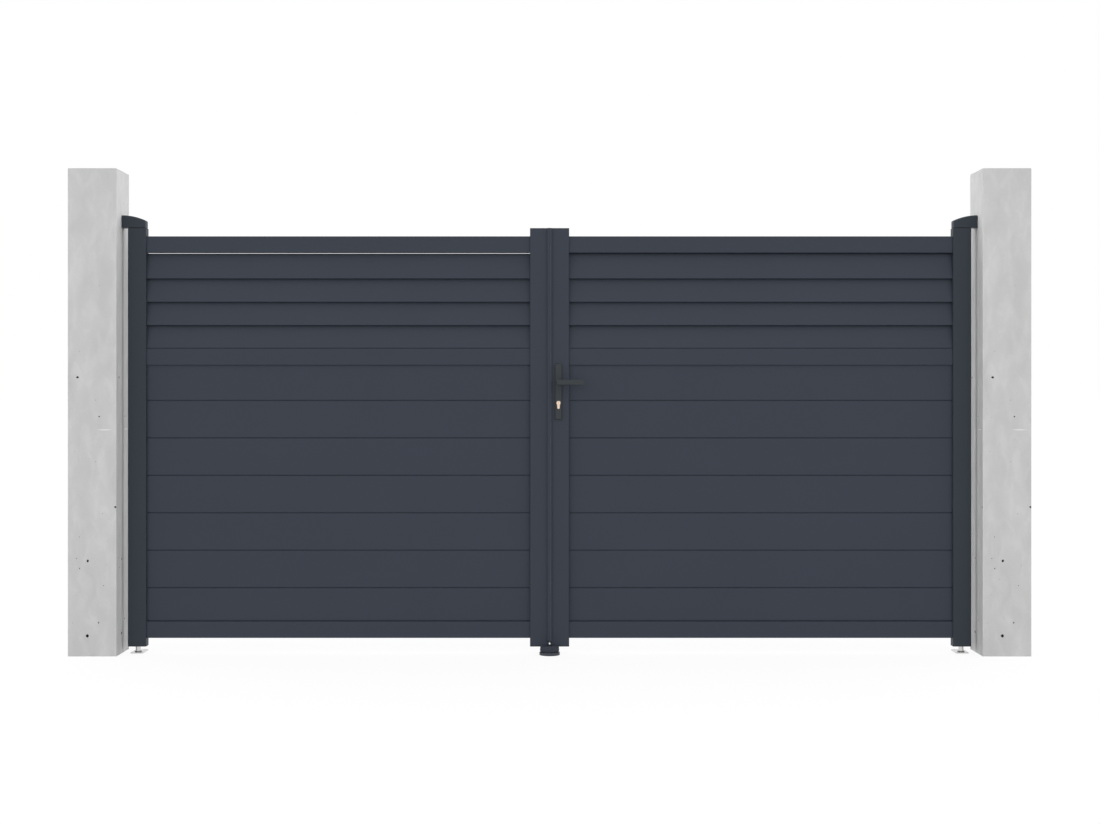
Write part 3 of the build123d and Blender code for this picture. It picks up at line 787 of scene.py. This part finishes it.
class GATE_OT_fixings(bpy.types.Operator):
    """Set the ground anchors, lock screws and stile screws"""
    bl_idname = "gate.fixings"
    bl_label = "Fixings"

    # Sizes in mm: sides and width of the head, its height and crown, washer and socket
    ANCHOR = {"Head sides": 40, "Head width": 15, "Head height": 0.8, "Crown": 40, "Washer width": 0,
              "Washer height": 0, "Socket width": 6, "Socket depth": 0.7}
    BUTTON = {"Head sides": 32, "Head width": 9, "Head height": 2.2, "Crown": 6, "Washer width": 0,
              "Washer height": 0, "Socket width": 4, "Socket depth": 1.4}
    FLUSH = {"Head sides": 32, "Head width": 8, "Head height": 0.6, "Crown": 14, "Washer width": 0,
             "Washer height": 0, "Socket width": 3.6, "Socket depth": 0.5}
    STOP_BOLT = {"Head sides": 40, "Head width": 15, "Head height": 2.0, "Crown": 20, "Washer width": 22,
                 "Washer height": 1.2, "Socket width": 7, "Socket depth": 1.8}
    # Distance of a screw from the end of its plate, and heights of the screws as shares of a rail
    EDGE_PLATE_INSET = 12 * MM
    BACK_PLATE_INSET = 14 * MM
    RAIL_SHARES = (0.25, 0.75)
    # Steps of the round and six-sided forms
    CROWN_SEGMENTS = 48
    CROWN_RINGS = 32
    WASHER_SIDES = 32
    SOCKET_SIDES = 6

    def execute(self, context):
        zinc = zinc_plate("zinc_plated_steel", context.scene.gate_colours.steel)
        black = zinc_plate("black_zinc_plated_steel", context.scene.gate_colours.black)
        tree = self.screw_tree()
        self.set_screws(tree, "ground_anchors", self.anchor_places(), self.ANCHOR, zinc, "pillars")
        self.set_screws(tree, "stop_bolt", self.stop_place(), self.STOP_BOLT, black, "pillars")
        for side in SIDES:
            self.set_screws(tree, side + "_stile_screws", self.stile_places(side), self.BUTTON, zinc,
                            side + "_leaf")
        self.set_screws(tree, "strike_screws", self.plate_places("strike_plate"), self.FLUSH, zinc,
                        "left_leaf")
        self.set_screws(tree, "faceplate_screws", self.plate_places("lock_faceplate"), self.FLUSH, zinc,
                        "right_leaf")
        self.set_screws(tree, "back_plate_screws", self.back_plate_places(), self.BUTTON, zinc, "right_leaf")
        return {"FINISHED"}

    def anchor_places(self):
        """The bolt holes of both floor plates, from the record's mounts."""
        places = []
        for mount in frame["record"]["mounts"]:
            if mount["kind"] == "bolt_pattern":
                x, y = mount["pos_m"][:2]
                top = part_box(mount["name"].replace("_bolts", "_plate"))[1].z
                half = mount["dims"]["spacing_x_mm"] * MM / 2
                places += [((x + shift, y, top), (0, 0, 1)) for shift in (-half, half)]
        return places

    def stop_place(self):
        """Middle of the stop's top."""
        base, top = middle("stop_base"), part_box("stop_buffer")[1]
        return [((base.x, base.y, top.z), (0, 0, 1))]

    def stile_places(self, side):
        """Two screws at each rail, on the outer flank of the hinge stile and on the edge of the meeting
        stile."""
        out = -1 if side == "left" else 1
        places = []
        for rail in ("top_rail", "middle_rail", "bottom_rail"):
            low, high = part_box(side + "_" + rail)
            for share in self.RAIL_SHARES:
                z = low.z + (high.z - low.z) * share
                for stile, facing in (("hinge_stile", out), ("meeting_stile", -out)):
                    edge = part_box(side + "_" + stile)[1 if facing > 0 else 0].x
                    y = 0.0 if stile == "hinge_stile" else middle("strike_plate").y
                    places.append(((edge, y, z), (facing, 0, 0)))
        return places

    def plate_places(self, plate):
        """A screw near each end of a plate on a meeting edge."""
        low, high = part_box(plate)
        facing = 1 if plate == "strike_plate" else -1
        x = high.x if facing > 0 else low.x
        heights = (low.z + self.EDGE_PLATE_INSET, high.z - self.EDGE_PLATE_INSET)
        return [((x, (low.y + high.y) / 2, z), (facing, 0, 0)) for z in heights]

    def back_plate_places(self):
        """A screw near each end of the back lock plate."""
        low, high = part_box("back_lock_plate")
        heights = (low.z + self.BACK_PLATE_INSET, high.z - self.BACK_PLATE_INSET)
        return [(((low.x + high.x) / 2, high.y, z), (0, 1, 0)) for z in heights]

    def screw_tree(self):
        """Node tree: a crowned head with a socket and a washer on every point, turned to the point's
        facing."""
        tree = bpy.data.node_groups.new("crowned_screws", "GeometryNodeTree")
        tree.interface.new_socket("Geometry", in_out="INPUT", socket_type="NodeSocketGeometry")
        for name in self.ANCHOR:
            kind = "NodeSocketInt" if name == "Head sides" else "NodeSocketFloat"
            tree.interface.new_socket(name, in_out="INPUT", socket_type=kind)
        tree.interface.new_socket("Finish", in_out="INPUT", socket_type="NodeSocketMaterial")
        tree.interface.new_socket("Geometry", in_out="OUTPUT", socket_type="NodeSocketGeometry")
        given = add_node(tree, "NodeGroupInput").outputs
        one_screw = self.screw_shape(tree, given)
        facing = add_node(tree, "GeometryNodeInputNamedAttribute", {"Name": "facing"},
                          data_type="FLOAT_VECTOR")
        turn = add_node(tree, "FunctionNodeAlignRotationToVector", {"Vector": facing.outputs["Attribute"]},
                        axis="Z")
        placed = add_node(tree, "GeometryNodeInstanceOnPoints", {
            "Points": given["Geometry"], "Instance": one_screw, "Rotation": turn.outputs["Rotation"]})
        real = add_node(tree, "GeometryNodeRealizeInstances", {"Geometry": placed.outputs["Instances"]})
        painted = add_node(tree, "GeometryNodeSetMaterial", {
            "Geometry": real.outputs["Geometry"], "Material": given["Finish"]})
        add_node(tree, "NodeGroupOutput", {"Geometry": painted.outputs["Geometry"]})
        return tree

    def screw_shape(self, tree, given):
        """One upright screw: a head cut to a crown, less its socket, on a washer where it has one."""
        radius = {}
        for name in ("Head width", "Washer width", "Socket width"):
            radius[name] = add_node(tree, "ShaderNodeMath", {0: given[name], 1: 0.5},
                                    operation="MULTIPLY").outputs[0]
        head_mid = add_node(tree, "ShaderNodeMath", {
            0: given["Head height"], 1: 0.5, 2: given["Washer height"]}, operation="MULTIPLY_ADD").outputs[0]
        head_top = add_node(tree, "ShaderNodeMath", {
            0: given["Head height"], 1: given["Washer height"]}, operation="ADD").outputs[0]
        washer_mid = add_node(tree, "ShaderNodeMath", {
            0: given["Washer height"], 1: 0.5}, operation="MULTIPLY").outputs[0]
        crown_mid = add_node(tree, "ShaderNodeMath", {
            0: head_top, 1: given["Crown"]}, operation="SUBTRACT").outputs[0]
        bore_depth = add_node(tree, "ShaderNodeMath", {
            0: given["Socket depth"], 1: 2.0}, operation="MULTIPLY").outputs[0]
        prism = add_node(tree, "GeometryNodeMeshCylinder", {
            "Vertices": given["Head sides"], "Radius": radius["Head width"], "Depth": given["Head height"]})
        ball = add_node(tree, "GeometryNodeMeshUVSphere", {
            "Segments": self.CROWN_SEGMENTS, "Rings": self.CROWN_RINGS, "Radius": given["Crown"]})
        socket = add_node(tree, "GeometryNodeMeshCylinder", {
            "Vertices": self.SOCKET_SIDES, "Radius": radius["Socket width"], "Depth": bore_depth})
        washer = add_node(tree, "GeometryNodeMeshCylinder", {
            "Vertices": self.WASHER_SIDES, "Radius": radius["Washer width"],
            "Depth": given["Washer height"]})
        lifted = []
        for shape, height in ((prism, head_mid), (ball, crown_mid), (socket, head_top), (washer, washer_mid)):
            lift = add_node(tree, "ShaderNodeCombineXYZ", {"Z": height}).outputs["Vector"]
            lifted.append(add_node(tree, "GeometryNodeTransform", {
                "Geometry": shape.outputs["Mesh"], "Translation": lift}).outputs["Geometry"])
        crowned = add_node(tree, "GeometryNodeMeshBoolean", operation="INTERSECT", solver="EXACT")
        tree.links.new(lifted[0], crowned.inputs["Mesh 2"])
        tree.links.new(lifted[1], crowned.inputs["Mesh 2"])
        bored = add_node(tree, "GeometryNodeMeshBoolean", {
            "Mesh 1": crowned.outputs["Mesh"], "Mesh 2": lifted[2]}, operation="DIFFERENCE", solver="EXACT")
        has_washer = add_node(tree, "FunctionNodeCompare", {
            0: given["Washer height"], 1: 0.0}, operation="GREATER_THAN")
        ring = add_node(tree, "GeometryNodeSwitch", {
            "Switch": has_washer.outputs["Result"], "True": lifted[3]}, input_type="GEOMETRY")
        whole = add_node(tree, "GeometryNodeJoinGeometry", {"Geometry": bored.outputs["Mesh"]})
        tree.links.new(ring.outputs["Output"], whole.inputs["Geometry"])
        return whole.outputs["Geometry"]

    def set_screws(self, tree, name, places, sizes, finish, body):
        """Put one screw at each place, as one plain mesh on a body."""
        points = bpy.data.meshes.new(name + "_points")
        points.from_pydata([place for place, _ in places], [], [])
        facing = points.attributes.new("facing", "FLOAT_VECTOR", "POINT")
        for i, (_, direction) in enumerate(places):
            facing.data[i].vector = direction
        carrier = bpy.data.objects.new(name + "_points", points)
        bpy.context.scene.collection.objects.link(carrier)
        modifier = carrier.modifiers.new("screws", "NODES")
        modifier.node_group = tree
        for item in tree.interface.items_tree:
            if item.name in sizes:
                unit = 1 if item.name == "Head sides" else MM
                modifier[item.identifier] = sizes[item.name] * unit
            elif item.name == "Finish":
                modifier[item.identifier] = finish
        graph = bpy.context.evaluated_depsgraph_get()
        mesh = bpy.data.meshes.new_from_object(carrier.evaluated_get(graph))
        bpy.data.objects.remove(carrier)
        if not mesh.polygons:
            raise RuntimeError("no screws were made for " + name)
        mesh.materials.clear()
        mesh.materials.append(finish)
        mesh.polygons.foreach_set("material_index", [0] * len(mesh.polygons))
        add_piece(name, mesh, body)


class GATE_PT_panel(bpy.types.Panel):
    """Finishes and fittings of the gate"""
    bl_idname = "GATE_PT_panel"
    bl_label = "Swing gate"
    bl_space_type = "VIEW_3D"
    bl_region_type = "UI"
    bl_category = "Gate"

    def draw(self, context):
        for operator in STEPS:
            self.layout.operator(operator.bl_idname)
        for group in (context.scene.gate_sizes, context.scene.gate_colours):
            for name in group.__annotations__:
                self.layout.prop(group, name)


STEPS = (GATE_OT_coatings, GATE_OT_pillars, GATE_OT_meeting_seal, GATE_OT_pivots, GATE_OT_lock_shade_underlays,
         GATE_OT_fixings, GATE_OT_stage)
CLASSES = (GateColours, GateSizes, *STEPS, GATE_PT_panel)


def register():
    for cls in CLASSES:
        bpy.utils.register_class(cls)
    bpy.types.Scene.gate_colours = bpy.props.PointerProperty(type=GateColours)
    bpy.types.Scene.gate_sizes = bpy.props.PointerProperty(type=GateSizes)


def unregister():
    del bpy.types.Scene.gate_sizes
    del bpy.types.Scene.gate_colours
    for cls in reversed(CLASSES):
        bpy.utils.unregister_class(cls)


def main():
    register()
    bpy.ops.gate.coatings()
    bpy.ops.gate.pillars()
    bpy.ops.gate.meeting_seal()
    bpy.ops.gate.pivots()
    bpy.ops.gate.lock_underlays()
    bpy.ops.gate.fixings()
    bpy.ops.gate.stage()


if __name__ == "__main__":
    main()
